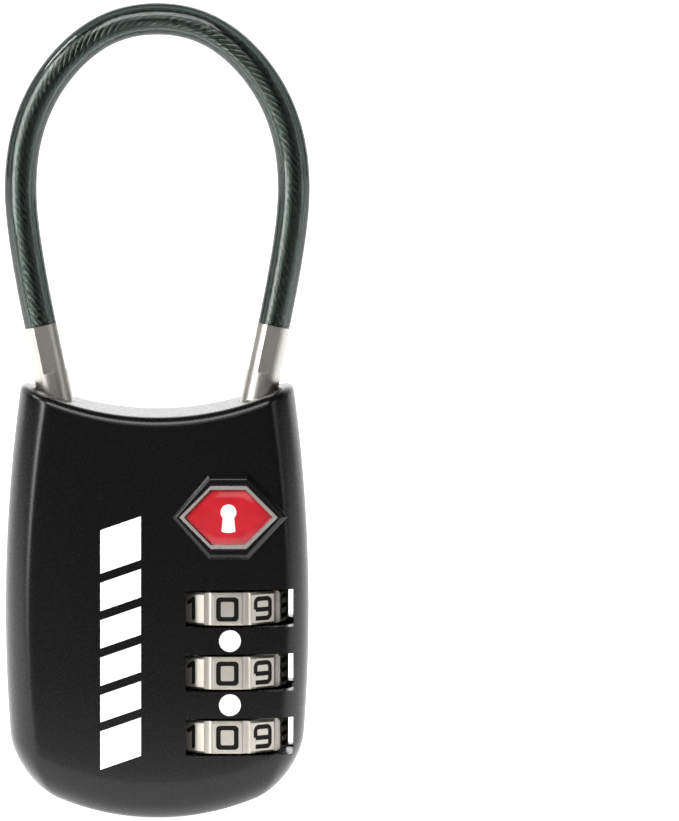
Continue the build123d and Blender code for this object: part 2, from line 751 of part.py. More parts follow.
with BuildPart() as cable_core:
    add(cable(core_diameter, crimp_length - 0.6))
cable_core.part.label = "cable_core"
export_step(cable_core.part, "parts/cable_core.step")

with BuildPart() as cable_jacket:
    add(cable(cable_diameter, 0.0))
    add(cable(core_diameter, 0.0), mode=Mode.SUBTRACT)
cable_jacket.part.label = "cable_jacket"
export_step(cable_jacket.part, "parts/cable_jacket.step")
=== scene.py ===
"""Builds the looks of a cable luggage lock round its frame of CAD parts.

Lengths in the code are millimetres unless a name says otherwise; MM turns them into metres.
"""

import math

import bmesh
import bpy
from mathutils import Matrix, Vector


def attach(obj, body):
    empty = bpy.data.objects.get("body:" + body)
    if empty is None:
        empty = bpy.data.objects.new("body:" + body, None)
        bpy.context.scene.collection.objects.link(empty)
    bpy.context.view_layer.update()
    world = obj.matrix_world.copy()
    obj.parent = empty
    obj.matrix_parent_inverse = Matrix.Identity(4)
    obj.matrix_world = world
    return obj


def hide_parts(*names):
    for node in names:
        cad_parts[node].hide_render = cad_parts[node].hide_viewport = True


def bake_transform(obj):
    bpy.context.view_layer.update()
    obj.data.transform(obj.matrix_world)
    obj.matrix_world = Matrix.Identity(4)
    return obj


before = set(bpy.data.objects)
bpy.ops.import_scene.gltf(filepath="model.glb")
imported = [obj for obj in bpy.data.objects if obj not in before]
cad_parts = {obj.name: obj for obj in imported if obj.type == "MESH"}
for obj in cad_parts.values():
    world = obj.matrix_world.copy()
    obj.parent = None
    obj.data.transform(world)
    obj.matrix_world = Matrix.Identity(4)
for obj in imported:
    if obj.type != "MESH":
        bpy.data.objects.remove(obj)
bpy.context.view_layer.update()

bl_info = {
    "name": "Cable Luggage Lock",
    "version": (1, 0, 0),
    "blender": (4, 5, 0),
    "location": "View3D > Sidebar > Lock",
    "description": "Case, badge, print, cable and studio of a small cable lock",
    "category": "Object",
}

MM = 0.001
UPRIGHT = (math.radians(90), 0, 0)  # turns a rod or a sheet from level to facing the front

# The case's form
HALF_WIDTH = 15.0
WIDEST = 20.5  # height at which the sides stand furthest out
SIDE_BOW = 160.0  # radius of the sides' bow
TOP_MIDDLE = 40.0
TOP_ARC = 30.0
BOTTOM_ARC = 26.5
FRONT = 6.0
BACK = 6.3
CROWN = 82.0
FRONT_CORNER = 5.4
BACK_CORNER = 5.0
CORNER_BLEND = 0.12
MID_DEPTH = 0.15
INNER_TOP_RIM = 0.05
COLUMNS = 96  # across the front, and again across the back
PARTING = 2.5
PARTING_GAP = 0.01
FORM_WELD = 0.0002
WELD = 0.002

# What is cut into the case
SLOT_ENDS = (2.8, 13.45)
FRONT_SLOT_HALF = 1.85
BACK_SLOT_HALF = 1.68
DIAL_AXIS = (6.9, -0.2)
DIAL_HEIGHTS = (8.4, 14.75, 21.1)
DIAL_ROOM = (6.35, 3.3)  # radius and thickness
DOT_X = 7.15
DOT_POCKET = (1.09, 1.4)  # radius and depth
RIVET_SEAT = (1.36, 1.3)
RIVETS = ((-8.6, 7.4), (-8.8, 18.6), (-2.0, 36.1))
CYLINDER_HOLE = (3.62, 4.0)
CYLINDER = (-6.6, 27.4)
RESET_SLOT = ((-1.56, 0.36), (20.34, 23.56))
BEYOND = 50.0  # further out than any part of the case

# The shackle's legs
LEG_LEAN = math.radians(11.8)
LEG_X = 10.54
LEG_HEIGHT = 44.0
LEG_HOLE = 1.82

# Badge, keyhole and print
BADGE = (7.0, 30.2)
KEYHOLE_LIFT = 0.5
PRINT_X = -3.6
PRINT_WIDTH = 4.0
PRINT_SLANT = 0.35
PRINT_BARS = ((5.9, 9.7), (10.6, 13.3), (14.2, 17.0), (17.9, 20.7), (21.6, 24.4), (25.3, 29.6))

# Cable
JACKET_FIT = 0.04  # between the rope and the jacket's bore
HEART_SHARE = 0.86
VINYL_DENSITY = 2900.0  # per metre of vinyl that light crosses

# Stage, in metres
CAMERA_AWAY = 1.0
CAMERA_RISE = math.radians(5.0)
CAMERA_AIM = 0.0402
LENS_AT_A_METRE = 444.0
CAMERA_SHIFT = 0.222


# ------------------------------------------------------------------ settings
class LockSizes(bpy.types.PropertyGroup):
    wall: bpy.props.FloatProperty(
        name="Wall", description="Thickness of the two shells", default=1.4 * MM,
        min=0.8 * MM, max=1.8 * MM, unit="LENGTH",
    )
    top_rim: bpy.props.FloatProperty(
        name="Top rim", description="Rounding of the hollow top's edge", default=1.0 * MM,
        min=0.3 * MM, max=1.5 * MM, unit="LENGTH",
    )
    bottom_rim: bpy.props.FloatProperty(
        name="Bottom rim", description="Rounding of the bottom edge", default=4.0 * MM,
        min=2.0 * MM, max=4.4 * MM, unit="LENGTH",
    )
    jacket: bpy.props.FloatProperty(
        name="Jacket", description="Outer diameter of the cable", default=3.2 * MM,
        min=2.8 * MM, max=3.3 * MM, unit="LENGTH",
    )
    rope: bpy.props.FloatProperty(
        name="Rope", description="Diameter of the wire rope in the jacket", default=1.88 * MM,
        min=1.2 * MM, max=1.9 * MM, unit="LENGTH",
    )
    rope_lay: bpy.props.FloatProperty(
        name="Rope lay", description="Length in which a strand goes once round", default=7.5 * MM,
        min=3.0 * MM, max=15.0 * MM, unit="LENGTH",
    )
    strands: bpy.props.IntProperty(
        name="Strands", description="Strands in the rope's outer layer", default=9, min=5, max=16
    )


class LockFinish(bpy.types.PropertyGroup):
    paint: bpy.props.FloatVectorProperty(
        name="Paint", description="Colour of the case", default=(0.0019, 0.0013, 0.0013),
        subtype="COLOR", min=0, max=1,
    )
    nickel: bpy.props.FloatVectorProperty(
        name="Nickel", description="Colour of the dials", default=(0.53, 0.50, 0.445),
        subtype="COLOR", min=0, max=1,
    )
    enamel: bpy.props.FloatVectorProperty(
        name="Enamel", description="Colour of the badge's dome", default=(0.42, 0.014, 0.022),
        subtype="COLOR", min=0, max=1,
    )
    vinyl: bpy.props.FloatVectorProperty(
        name="Vinyl", description="Tint of the cable's jacket", default=(0.37, 0.42, 0.40),
        subtype="COLOR", min=0, max=1,
    )


# ------------------------------------------------------------------ finishes
def grained(name, colour, roughness, metallic=0.0, grain=3.0, stretch=(1, 1, 1), relief=0.02,
            spread=0.15, rough_spread=0.08):
    """A material with a fine grain in its colour, its roughness and its surface."""
    made = bpy.data.materials.get(name)
    if made:
        return made
    made = bpy.data.materials.new(name)
    made.use_nodes = True
    nodes, links = made.node_tree.nodes, made.node_tree.links
    shader = nodes["Principled BSDF"]
    shader.inputs["Metallic"].default_value = metallic
    place = nodes.new("ShaderNodeTexCoord")
    mapping = nodes.new("ShaderNodeMapping")
    mapping.inputs["Scale"].default_value = [1000 * s for s in stretch]
    noise = nodes.new("ShaderNodeTexNoise")
    noise.inputs["Scale"].default_value = grain
    noise.inputs["Detail"].default_value = 4.0
    links.new(place.outputs["Object"], mapping.inputs["Vector"])
    links.new(mapping.outputs["Vector"], noise.inputs["Vector"])
    tones = nodes.new("ShaderNodeValToRGB")
    tones.color_ramp.elements[0].position = 0.3
    tones.color_ramp.elements[1].position = 0.7
    tones.color_ramp.elements[0].color = (*[c * (1 - spread) for c in colour], 1)
    tones.color_ramp.elements[1].color = (*[min(1.0, c * (1 + spread)) for c in colour], 1)
    links.new(noise.outputs["Fac"], tones.inputs["Fac"])
    links.new(tones.outputs["Color"], shader.inputs["Base Color"])
    rough = nodes.new("ShaderNodeMapRange")
    rough.inputs["To Min"].default_value = max(0.02, roughness - rough_spread)
    rough.inputs["To Max"].default_value = roughness + rough_spread
    links.new(noise.outputs["Fac"], rough.inputs["Value"])
    links.new(rough.outputs["Result"], shader.inputs["Roughness"])
    bump = nodes.new("ShaderNodeBump")
    bump.inputs["Strength"].default_value = 0.6
    bump.inputs["Distance"].default_value = relief * MM
    links.new(noise.outputs["Fac"], bump.inputs["Height"])
    links.new(bump.outputs["Normal"], shader.inputs["Normal"])
    return made


def case_paint():
    made = grained("case_paint", bpy.context.scene.lock_finish.paint, 0.27, grain=4.0,
                   relief=0.002, spread=0.2, rough_spread=0.04)
    shader = made.node_tree.nodes["Principled BSDF"]
    shader.inputs["Specular IOR Level"].default_value = 0.36
    return made


def clear_vinyl():
    made = grained("clear_vinyl", (0.94, 0.96, 0.95), 0.08, grain=0.5, relief=0.0005, spread=0.03,
                   rough_spread=0.03)
    nodes, links = made.node_tree.nodes, made.node_tree.links
    shader = nodes["Principled BSDF"]
    shader.inputs["Transmission Weight"].default_value = 1.0
    shader.inputs["IOR"].default_value = 1.4
    depth = nodes.get("Volume Absorption") or nodes.new("ShaderNodeVolumeAbsorption")
    depth.inputs["Color"].default_value = (*bpy.context.scene.lock_finish.vinyl, 1)
    depth.inputs["Density"].default_value = VINYL_DENSITY
    links.new(depth.outputs["Volume"], nodes["Material Output"].inputs["Volume"])
    return made


def badge_enamel():
    made = grained("badge_enamel", bpy.context.scene.lock_finish.enamel, 0.14, grain=0.6,
                   relief=0.004, spread=0.12, rough_spread=0.03)
    made.node_tree.nodes["Principled BSDF"].inputs["Coat Weight"].default_value = 0.2
    return made


def white_paint():
    return grained("white_paint", (0.86, 0.86, 0.85), 0.4, grain=3.0, relief=0.008, spread=0.03)


def rope_wire():
    """Bright drawn wire, which looks dark through the vinyl."""
    return grained("rope_wire", (0.66, 0.66, 0.64), 0.22, metallic=1.0, grain=2.5,
                   relief=0.002, spread=0.2, rough_spread=0.05)


# ------------------------------------------------------------------ modelling helpers
def start_fresh():
    """Leaves edit mode and selects nothing, so an operator acts only on what is added next."""
    if bpy.context.object and bpy.context.object.mode != "OBJECT":
        bpy.ops.object.mode_set(mode="OBJECT")
    bpy.ops.object.select_all(action="DESELECT")


def pick(obj):
    start_fresh()
    obj.select_set(True)
    bpy.context.view_layer.objects.active = obj
    return obj


def named(name):
    obj = bpy.context.object
    obj.name = name
    obj.data.name = name
    return obj


def settle(obj):
    """Puts the object's place into its mesh."""
    pick(obj)
    bpy.ops.object.transform_apply(location=True, rotation=True, scale=True)
    return obj


def modify(obj, kind, **settings):
    """Adds a modifier, sets it and applies it."""
    pick(obj)
    modifier = obj.modifiers.new(kind.lower(), kind)
    for key, value in settings.items():
        setattr(modifier, key, value)
    bpy.ops.object.modifier_apply(modifier=modifier.name)
    return obj


def outward(obj):
    pick(obj)
    bpy.ops.object.mode_set(mode="EDIT")
    bpy.ops.mesh.select_all(action="SELECT")
    bpy.ops.mesh.remove_doubles(threshold=WELD * MM)
    bpy.ops.mesh.normals_make_consistent(inside=False)
    bpy.ops.object.mode_set(mode="OBJECT")
    return obj


def smooth(obj, degrees=35):
    pick(obj)
    bpy.ops.object.shade_smooth_by_angle(angle=math.radians(degrees))
    return obj


def finished(obj, material, body):
    obj.data.materials.clear()
    obj.data.materials.append(material)
    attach(obj, body)
    return obj


def cutter_box(x, y, z):
    """A box between pairs of limits, in millimetres."""
    start_fresh()
    bpy.ops.mesh.primitive_cube_add(
        size=1, location=[MM * (a + b) / 2 for a, b in (x, y, z)],
        scale=[MM * (b - a) for a, b in (x, y, z)],
    )
    return settle(bpy.context.object)


def cutter_rod(radius, depth, centre, turn=(0, 0, 0)):
    """A rod about a centre, upright unless it is turned, in millimetres."""
    start_fresh()
    bpy.ops.mesh.primitive_cylinder_add(
        vertices=64, radius=radius * MM, depth=depth * MM,
        location=[c * MM for c in centre], rotation=turn,
    )
    return settle(bpy.context.object)


def joined(objects):
    pick(objects[0])
    for obj in objects:
        obj.select_set(True)
    bpy.ops.object.join()
    return bpy.context.object


def carve(obj, tool, operation="DIFFERENCE"):
    """Takes the tool from the object, or adds it, and deletes the tool."""
    modify(obj, "BOOLEAN", object=tool, operation=operation, solver="EXACT")
    bpy.data.objects.remove(tool, do_unlink=True)
    return obj


# ------------------------------------------------------------------ case
def low_arc(x, inset):
    """Height of the bottom at x, which bulges down in the middle."""
    radius = BOTTOM_ARC - inset
    return BOTTOM_ARC - math.sqrt(radius * radius - x * x)


def high_arc(x, inset):
    """Height of the top at x, which is hollow in the middle."""
    radius = TOP_ARC + inset
    return TOP_MIDDLE + TOP_ARC - math.sqrt(radius * radius - x * x)


def front_y(x, width, inset):
    """Front surface of the case: a crown that runs into a round end."""
    radius = CROWN - inset
    crown = CROWN - FRONT - math.sqrt(radius * radius - x * x)
    corner, centre = FRONT_CORNER - inset, width - FRONT_CORNER
    over = abs(x) - centre
    arc = -(FRONT - inset)
    if over > 0:
        arc = FRONT_CORNER - FRONT - math.sqrt(max(0.0, corner * corner - over * over))
    gap = crown - arc
    return (crown + arc + math.hypot(gap, CORNER_BLEND)) / 2 - CORNER_BLEND / 2


def back_y(x, width, inset):
    """Back surface of the case: flat, with round corners."""
    corner, centre = BACK_CORNER - inset, width - BACK_CORNER
    over = abs(x) - centre
    if over <= 0:
        return BACK - inset
    return BACK - BACK_CORNER + math.sqrt(max(0.0, corner * corner - over * over))


def form_levels(top_rim, bottom_rim):
    """Each ring's rise from the bottom, drop from the top, inset, and how far it spreads in depth.

    A ring with the drop "share" stands at that share of the way between the two rims.
    """
    turns = [math.radians(90 * n / 12) for n in range(13)]
    levels = [(0.0, None, bottom_rim, n / 6) for n in range(6)]
    levels += [(bottom_rim * (1 - math.cos(t)), None, bottom_rim * (1 - math.sin(t)), 1)
               for t in turns]
    levels += [(n / 30, "share", 0.0, 1) for n in range(1, 30)]
    levels += [(None, top_rim * (1 - math.cos(t)), top_rim * (1 - math.sin(t)), 1)
               for t in reversed(turns)]
    levels += [(None, 0.0, top_rim, n / 6) for n in range(5, -1, -1)]
    return levels


def case_form(name, inset, top_rim, bottom_rim):
    """The closed outer or inner form of the case, ring by ring."""
    mesh = bmesh.new()
    rings = []
    for rise, drop, taken_in, spread in form_levels(top_rim, bottom_rim):
        front, back = [], []
        for step in range(COLUMNS + 1):
            side = math.sin(math.pi * (step / COLUMNS - 0.5))
            height = WIDEST
            for _ in range(4):  # the width hangs on the height, and the height on the width
                width = HALF_WIDTH - (height - WIDEST) ** 2 / (2 * SIDE_BOW)
                x = side * (width - inset - taken_in)
                low, high = low_arc(x, inset), high_arc(x, inset)
                if drop == "share":
                    first, last = low + bottom_rim, high - top_rim
                    height = first + rise * (last - first)
                else:
                    height = low + rise if rise is not None else high - drop
            total = inset + taken_in
            for row, surface in ((front, front_y), (back, back_y)):
                y = MID_DEPTH + (surface(x, width, total) - MID_DEPTH) * spread
                row.append(mesh.verts.new((x * MM, y * MM, height * MM)))
        rings.append(front + back[::-1])
    for lower, upper in zip(rings, rings[1:]):
        for n in range(len(lower)):
            m = (n + 1) % len(lower)
            mesh.faces.new((lower[n], lower[m], upper[m], upper[n]))
    bmesh.ops.remove_doubles(mesh, verts=mesh.verts, dist=FORM_WELD * MM)
    bmesh.ops.dissolve_degenerate(mesh, edges=mesh.edges, dist=FORM_WELD * MM)
    bmesh.ops.recalc_face_normals(mesh, faces=mesh.faces)
    data = bpy.data.meshes.new(name)
    mesh.to_mesh(data)
    mesh.free()
    obj = bpy.data.objects.new(name, data)
    bpy.context.scene.collection.objects.link(obj)
    return obj


def on_leg(along):
    """X and height of the place that is so far up the right leg from the leg's start."""
    return LEG_X + along * math.sin(LEG_LEAN), LEG_HEIGHT + along * math.cos(LEG_LEAN)


def leg_rod(side, radius, low, high):
    """A rod along one leg of the shackle, between two places on the leg."""
    x, height = on_leg((low + high) / 2)
    return cutter_rod(radius, high - low, (side * x, 0, height), (0, side * LEG_LEAN, 0))


class LOCK_OT_case(bpy.types.Operator):
    """Model the two shells with their dial slots, leg holes, dot pockets, rivet seats, cylinder hole
    and reset slot
    """

    bl_idname = "lock.case"
    bl_label = "Case shells"

    def slot_box(self, height, depth, half):
        return cutter_box(SLOT_ENDS, depth, (height - half, height + half))

    def execute(self, context):
        sizes = context.scene.lock_sizes
        wall = sizes.wall / MM
        top_rim, bottom_rim = sizes.top_rim / MM, sizes.bottom_rim / MM
        whole = case_form("case_front_shell", 0.0, top_rim, bottom_rim)
        hollow = case_form("hollow", wall, INNER_TOP_RIM, bottom_rim - wall)
        carve(whole, hollow)
        for height in DIAL_HEIGHTS:
            slot = self.slot_box(height, (-9, PARTING), FRONT_SLOT_HALF)
            carve(slot, self.slot_box(height, (PARTING - 0.1, 9), BACK_SLOT_HALF), "UNION")
            carve(slot, cutter_rod(*DIAL_ROOM, (*DIAL_AXIS, height)), "UNION")
            carve(whole, slot)
        for side in (-1, 1):
            carve(whole, leg_rod(side, LEG_HOLE, -8, 3))
        rear = whole.copy()
        rear.data = whole.data.copy()
        rear.name = "case_back_shell"
        bpy.context.scene.collection.objects.link(rear)
        behind, before = (PARTING - PARTING_GAP / 2, BEYOND), (-BEYOND, PARTING + PARTING_GAP / 2)
        carve(whole, cutter_box((-BEYOND, BEYOND), behind, (-BEYOND, BEYOND)))
        carve(rear, cutter_box((-BEYOND, BEYOND), before, (-BEYOND, BEYOND)))
        for lower, upper in zip(DIAL_HEIGHTS, DIAL_HEIGHTS[1:]):
            carve(whole, cutter_rod(*DOT_POCKET, (DOT_X, -5.9, (lower + upper) / 2), UPRIGHT))
        for x, height in RIVETS:
            carve(rear, cutter_rod(*RIVET_SEAT, (x, 6.35, height), UPRIGHT))
        carve(rear, cutter_rod(*CYLINDER_HOLE, (CYLINDER[0], 5.4, CYLINDER[1]), UPRIGHT))
        carve(rear, cutter_box(RESET_SLOT[0], (4, 8), RESET_SLOT[1]))
        for shell, node in ((whole, "front_case"), (rear, "back_cover")):
            smooth(shell, 30)
            modify(shell, "WEIGHTED_NORMAL", keep_sharp=True)
            finished(shell, case_paint(), "case")
            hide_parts(node)
        return {"FINISHED"}


# ------------------------------------------------------------------ badge and print
def long_hexagon(name, half_width, half_height, flat, y, depth):
    """A long hexagon's prism, its front at y, standing back by depth."""
    start_fresh()
    bpy.ops.mesh.primitive_circle_add(
        vertices=6, radius=1, fill_type="NGON", location=(0, 0, 0), rotation=UPRIGHT
    )
    obj = settle(named(name))
    for vertex in obj.data.vertices:  # the circle's top and bottom corners become the side tips
        along, up = vertex.co.z, vertex.co.x
        tip = abs(up) < 0.1
        vertex.co.x = math.copysign(half_width if tip else flat, along) * MM
        vertex.co.z = 0 if tip else math.copysign(half_height, up) * MM
        vertex.co.y = 0
    obj.data.transform(Matrix.Translation((BADGE[0] * MM, y * MM, BADGE[1] * MM)))
    pick(obj)
    bpy.ops.object.mode_set(mode="EDIT")
    bpy.ops.mesh.select_all(action="SELECT")
    bpy.ops.mesh.extrude_region_move(TRANSFORM_OT_translate={"value": (0, depth * MM, 0)})
    bpy.ops.object.mode_set(mode="OBJECT")
    return outward(obj)


def rest_on_front(obj, lift):
    """Bends a flat piece onto the crown of the front, standing lift proud of it."""
    for vertex in obj.data.vertices:
        x = vertex.co.x / MM
        vertex.co.y += (front_y(x, HALF_WIDTH, 0.0) - lift) * MM
    return obj


class LOCK_OT_badge(bpy.types.Operator):
    """Model the raised boss, the domed enamel and its keyhole sign"""

    bl_idname = "lock.badge"
    bl_label = "Badge"

    def execute(self, context):
        boss = long_hexagon("badge_boss", 5.8, 4.25, 2.0, -6.29, 2.4)
        pocket = long_hexagon("pocket", 4.86, 3.11, 1.75, -7.0, 1.42)
        pick(boss)
        bpy.ops.object.mode_set(mode="EDIT")
        bpy.ops.mesh.select_all(action="DESELECT")
        bpy.ops.object.mode_set(mode="OBJECT")
        for edge in boss.data.edges:
            ends = [boss.data.vertices[n].co.y for n in edge.vertices]
            edge.select = max(ends) < -6.0 * MM
        bpy.ops.object.mode_set(mode="EDIT")
        bpy.ops.mesh.select_mode(type="EDGE")
        bpy.ops.mesh.bevel(offset=0.5 * MM, segments=1)
        bpy.ops.object.mode_set(mode="OBJECT")
        carve(boss, pocket)
        modify(boss, "BEVEL", width=0.07 * MM, segments=2, limit_method="ANGLE")
        smooth(outward(boss), 30)
        finished(boss, case_paint(), "case")

        dome = long_hexagon("badge_dome", 4.3, 2.7, 1.62, -5.95, 0.1)
        pick(dome)
        bpy.ops.object.mode_set(mode="EDIT")
        bpy.ops.mesh.select_all(action="DESELECT")
        bpy.ops.mesh.select_mode(type="FACE")
        bpy.ops.object.mode_set(mode="OBJECT")
        for polygon in dome.data.polygons:
            polygon.select = polygon.normal.y < -0.99 and polygon.center.y < -5.9 * MM
        bpy.ops.object.mode_set(mode="EDIT")
        for taken_in, rise in ((0.35, 0.14), (0.5, 0.09), (0.6, 0.05)):
            bpy.ops.mesh.inset(thickness=taken_in * MM, depth=0)
            bpy.ops.transform.translate(value=(0, -rise * MM, 0))
        bpy.ops.object.mode_set(mode="OBJECT")
        smooth(outward(dome), 50)
        finished(dome, badge_enamel(), "case")
        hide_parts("badge_enamel")

        start_fresh()
        bpy.ops.mesh.primitive_circle_add(
            vertices=40, radius=0.78 * MM, fill_type="NGON",
            location=(BADGE[0] * MM, -6.24 * MM, (BADGE[1] + KEYHOLE_LIFT) * MM), rotation=UPRIGHT,
        )
        sign = settle(named("badge_keyhole"))
        for vertex in sign.data.vertices:  # the circle's lowest part is drawn down and widened
            fall = (BADGE[1] + KEYHOLE_LIFT) * MM - vertex.co.z
            if fall > 0.62 * MM:
                vertex.co.z -= 1.25 * MM
                vertex.co.x = BADGE[0] * MM + (vertex.co.x - BADGE[0] * MM) * 1.5
        pick(sign)
        bpy.ops.object.mode_set(mode="EDIT")
        bpy.ops.mesh.select_all(action="SELECT")
        bpy.ops.mesh.extrude_region_move(TRANSFORM_OT_translate={"value": (0, 0.12 * MM, 0)})
        bpy.ops.object.mode_set(mode="OBJECT")
        outward(sign)
        modify(sign, "BEVEL", width=0.02 * MM, segments=2, limit_method="ANGLE")
        finished(smooth(sign, 30), white_paint(), "case")
        return {"FINISHED"}


class LOCK_OT_print(bpy.types.Operator):
    """Model the white bars printed up the front"""

    bl_idname = "lock.print"
    bl_label = "Printed bars"

    def execute(self, context):
        bars = []
        for low, high in PRINT_BARS:
            start_fresh()
            bpy.ops.mesh.primitive_grid_add(
                x_subdivisions=12, y_subdivisions=2, size=1,
                location=(PRINT_X * MM, 0, (low + high) / 2 * MM), rotation=UPRIGHT,
            )
            bar = bpy.context.object
            bar.scale = (PRINT_WIDTH * MM, (high - low) * MM, 1)
            settle(bar)
            for vertex in bar.data.vertices:
                vertex.co.z += (vertex.co.x - PRINT_X * MM) * PRINT_SLANT
            bars.append(bar)
        sheet = joined(bars)
        sheet.name = sheet.data.name = "front_print"
        rest_on_front(sheet, 0.03)
        modify(sheet, "SOLIDIFY", thickness=0.06 * MM, offset=0)
        outward(sheet)
        finished(smooth(sheet, 30), white_paint(), "case")
        return {"FINISHED"}


# ------------------------------------------------------------------ cable
def cable_route():
    """The cable's route from the right ferrule over the top to the left one, in metres."""
    right = [on_leg(along) for along in (4.75, 12.15)]
    right += [(13.7, 64.05), (12.06, 70.66), (8.16, 76.03), (3.19, 78.9)]
    return [(x * MM, 0, z * MM) for x, z in right] + [
        (-x * MM, 0, z * MM) for x, z in reversed(right)
    ]


def route_curve():
    """A smooth curve along the cable's route."""
    start_fresh()
    points = cable_route()
    bpy.ops.curve.primitive_nurbs_path_add()
    curve = named("cable_route")
    curve.data.splines.clear()
    spline = curve.data.splines.new("NURBS")
    spline.points.add(len(points) - 1)
    for point, place in zip(spline.points, points):
        point.co = (*place, 1)
    spline.order_u = 3
    spline.use_endpoint_u = True
    spline.resolution_u = 24
    curve.data.resolution_u = 24
    curve.data.twist_mode = "MINIMUM"
    return curve


def spun_tube(name, radius, offset, turns, length, steps, sides):
    """A tube along +X made by sweeping a circle; with turns it winds round the axis."""
    start_fresh()
    bpy.ops.mesh.primitive_circle_add(
        vertices=sides, radius=radius, location=(0, offset, 0), rotation=(0, math.radians(90), 0)
    )
    obj = settle(named(name))
    return modify(
        obj, "SCREW", axis="X", angle=2 * math.pi * turns, screw_offset=length, steps=steps,
        render_steps=steps, use_merge_vertices=False,
    )


class LOCK_OT_cable(bpy.types.Operator):
    """Model the wire rope and its clear jacket along the loop"""

    bl_idname = "lock.cable"
    bl_label = "Cable"

    def execute(self, context):
        sizes = context.scene.lock_sizes
        curve = route_curve()
        length = curve.data.splines[0].calc_length()
        ends = cable_route()
        share = math.sin(math.pi / sizes.strands)
        strand = sizes.rope / 2 * share / (1 + share)
        ring = sizes.rope / 2 - strand
        first = spun_tube("cable_rope", strand, ring, -length / sizes.rope_lay, length, 420, 8)
        pieces = [first]
        for n in range(1, sizes.strands):
            other = first.copy()
            other.data = first.data.copy()
            context.scene.collection.objects.link(other)
            other.rotation_euler = (2 * math.pi * n / sizes.strands, 0, 0)
            pieces.append(settle(other))
        pieces.append(spun_tube("heart", ring * HEART_SHARE, 0, 0, length, 120, 20))
        rope = joined(pieces)
        rope.name = rope.data.name = "cable_rope"
        pick(rope)
        bpy.ops.object.mode_set(mode="EDIT")
        bpy.ops.mesh.select_all(action="SELECT")
        bpy.ops.mesh.fill_holes(sides=24)
        bpy.ops.object.mode_set(mode="OBJECT")
        jacket = spun_tube("cable_jacket_clear", sizes.jacket / 2, 0, 0, length, 180, 48)
        outward(jacket)
        thickness = (sizes.jacket - sizes.rope) / 2 - JACKET_FIT * MM
        modify(jacket, "SOLIDIFY", thickness=thickness, offset=-1)
        for obj in (rope, jacket):
            modify(obj, "CURVE", object=curve, deform_axis="POS_X")
            smooth(outward(obj), 60)
        pick(curve)
        bpy.ops.object.convert(target="MESH")
        line = bpy.context.object
        bpy.data.objects.remove(line, do_unlink=True)
        for obj, material, slot, node in (
            (rope, rope_wire(), "dark_steel", "cable_core"),
            (jacket, clear_vinyl(), "smoky_vinyl", "cable_jacket"),
        ):
            obj.data.materials.clear()
            obj.data.materials.append(material)
            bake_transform(obj)
            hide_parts(node)
        return {"FINISHED"}


# ------------------------------------------------------------------ carried-over parts
# Each finish: colour, roughness, metallic, grain, stretch, relief, spread of tone, of roughness
PART_LOOKS = {
    "ferrule_nickel": ((0.52, 0.50, 0.465), 0.36, 1.0, 2.0, (7, 7, 1), 0.01, 0.12, 0.08),
    "badge_rim": ((0.62, 0.58, 0.56), 0.42, 1.0, 3.0, (1, 1, 1), 0.003, 0.06, 0.05),
    "zinc_steel": ((0.5, 0.5, 0.49), 0.34, 1.0, 2.5, (1, 1, 1), 0.008, 0.12, 0.08),
    "spring_wire": ((0.4, 0.4, 0.42), 0.25, 1.0, 4.0, (1, 1, 6), 0.004, 0.12, 0.06),
    "turned_brass": ((0.72, 0.52, 0.22), 0.3, 1.0, 2.0, (1, 1, 10), 0.006, 0.1, 0.08),
    "sleeve_zinc": ((0.10, 0.10, 0.10), 0.5, 0.9, 2.5, (1, 1, 1), 0.008, 0.2, 0.08),
    "black_rivet": ((0.03, 0.03, 0.03), 0.4, 0.6, 3.0, (1, 1, 1), 0.01, 0.3, 0.08),
    "numeral_fill": ((0.006, 0.006, 0.006), 0.45, 0.0, 5.0, (1, 1, 1), 0.01, 0.3, 0.08),
    "moulded_black": ((0.02, 0.02, 0.02), 0.45, 0.0, 5.0, (1, 1, 1), 0.012, 0.2, 0.08),
}


class LOCK_OT_metalwork(bpy.types.Operator):
    """Give every part of the frame that stays its finish"""

    bl_idname = "lock.metalwork"
    bl_label = "Metalwork finishes"

    def execute(self, context):
        nickel = context.scene.lock_finish.nickel
        satin = grained("dial_nickel", nickel, 0.44, 0.9, 3.0, (1, 1, 6), 0.004, 0.05, 0.05)
        looks = {name: grained(name, *look) for name, look in PART_LOOKS.items()}
        zinc, spring, brass = (looks[name] for name in ("zinc_steel", "spring_wire", "turned_brass"))
        ink = looks["numeral_fill"]
        ink.node_tree.nodes["Principled BSDF"].inputs["Specular IOR Level"].default_value = 0.1
        wear = {
            "dial_": satin, "numerals_": ink, "sleeve_": looks["sleeve_zinc"],
            "ferrule_": looks["ferrule_nickel"], "badge_plate": looks["badge_rim"],
            "stem_": zinc, "spindle": zinc, "cam_plate": zinc, "bolt": zinc, "hook": zinc,
            "bolt_spring": spring, "reset_spring": spring, "detent_spring": spring,
            "reset_button": looks["moulded_black"], "reset_bracket": zinc,
            "cylinder_housing": zinc, "key_plug": brass, "wafers": brass,
            "rivets": looks["black_rivet"],
            "index_dots": white_paint(), "badge_enamel": badge_enamel(),
            "cable_core": rope_wire(), "cable_jacket": clear_vinyl(),
            "front_case": case_paint(), "back_cover": case_paint(),
        }
        for name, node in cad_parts.items():
            matches = [key for key in wear if name.startswith(key)]
            if not matches:
                raise RuntimeError(f"{name} has no finish")
            finish = wear[max(matches, key=len)]
            for slot in node.material_slots:
                slot.material = finish
        return {"FINISHED"}


# ------------------------------------------------------------------ studio
def softbox(name, place, target, size, watts):
    """An oblong lamp at a place, aimed at the target, in metres."""
    start_fresh()
    bpy.ops.object.light_add(type="AREA", location=place)
    lamp = bpy.context.object
    lamp.name = name
    lamp.data.shape = "RECTANGLE"
    lamp.data.size, lamp.data.size_y = size
    lamp.data.energy = watts
    aim = Vector(target) - Vector(place)
    lamp.rotation_euler = aim.to_track_quat("-Z", "Y").to_euler()


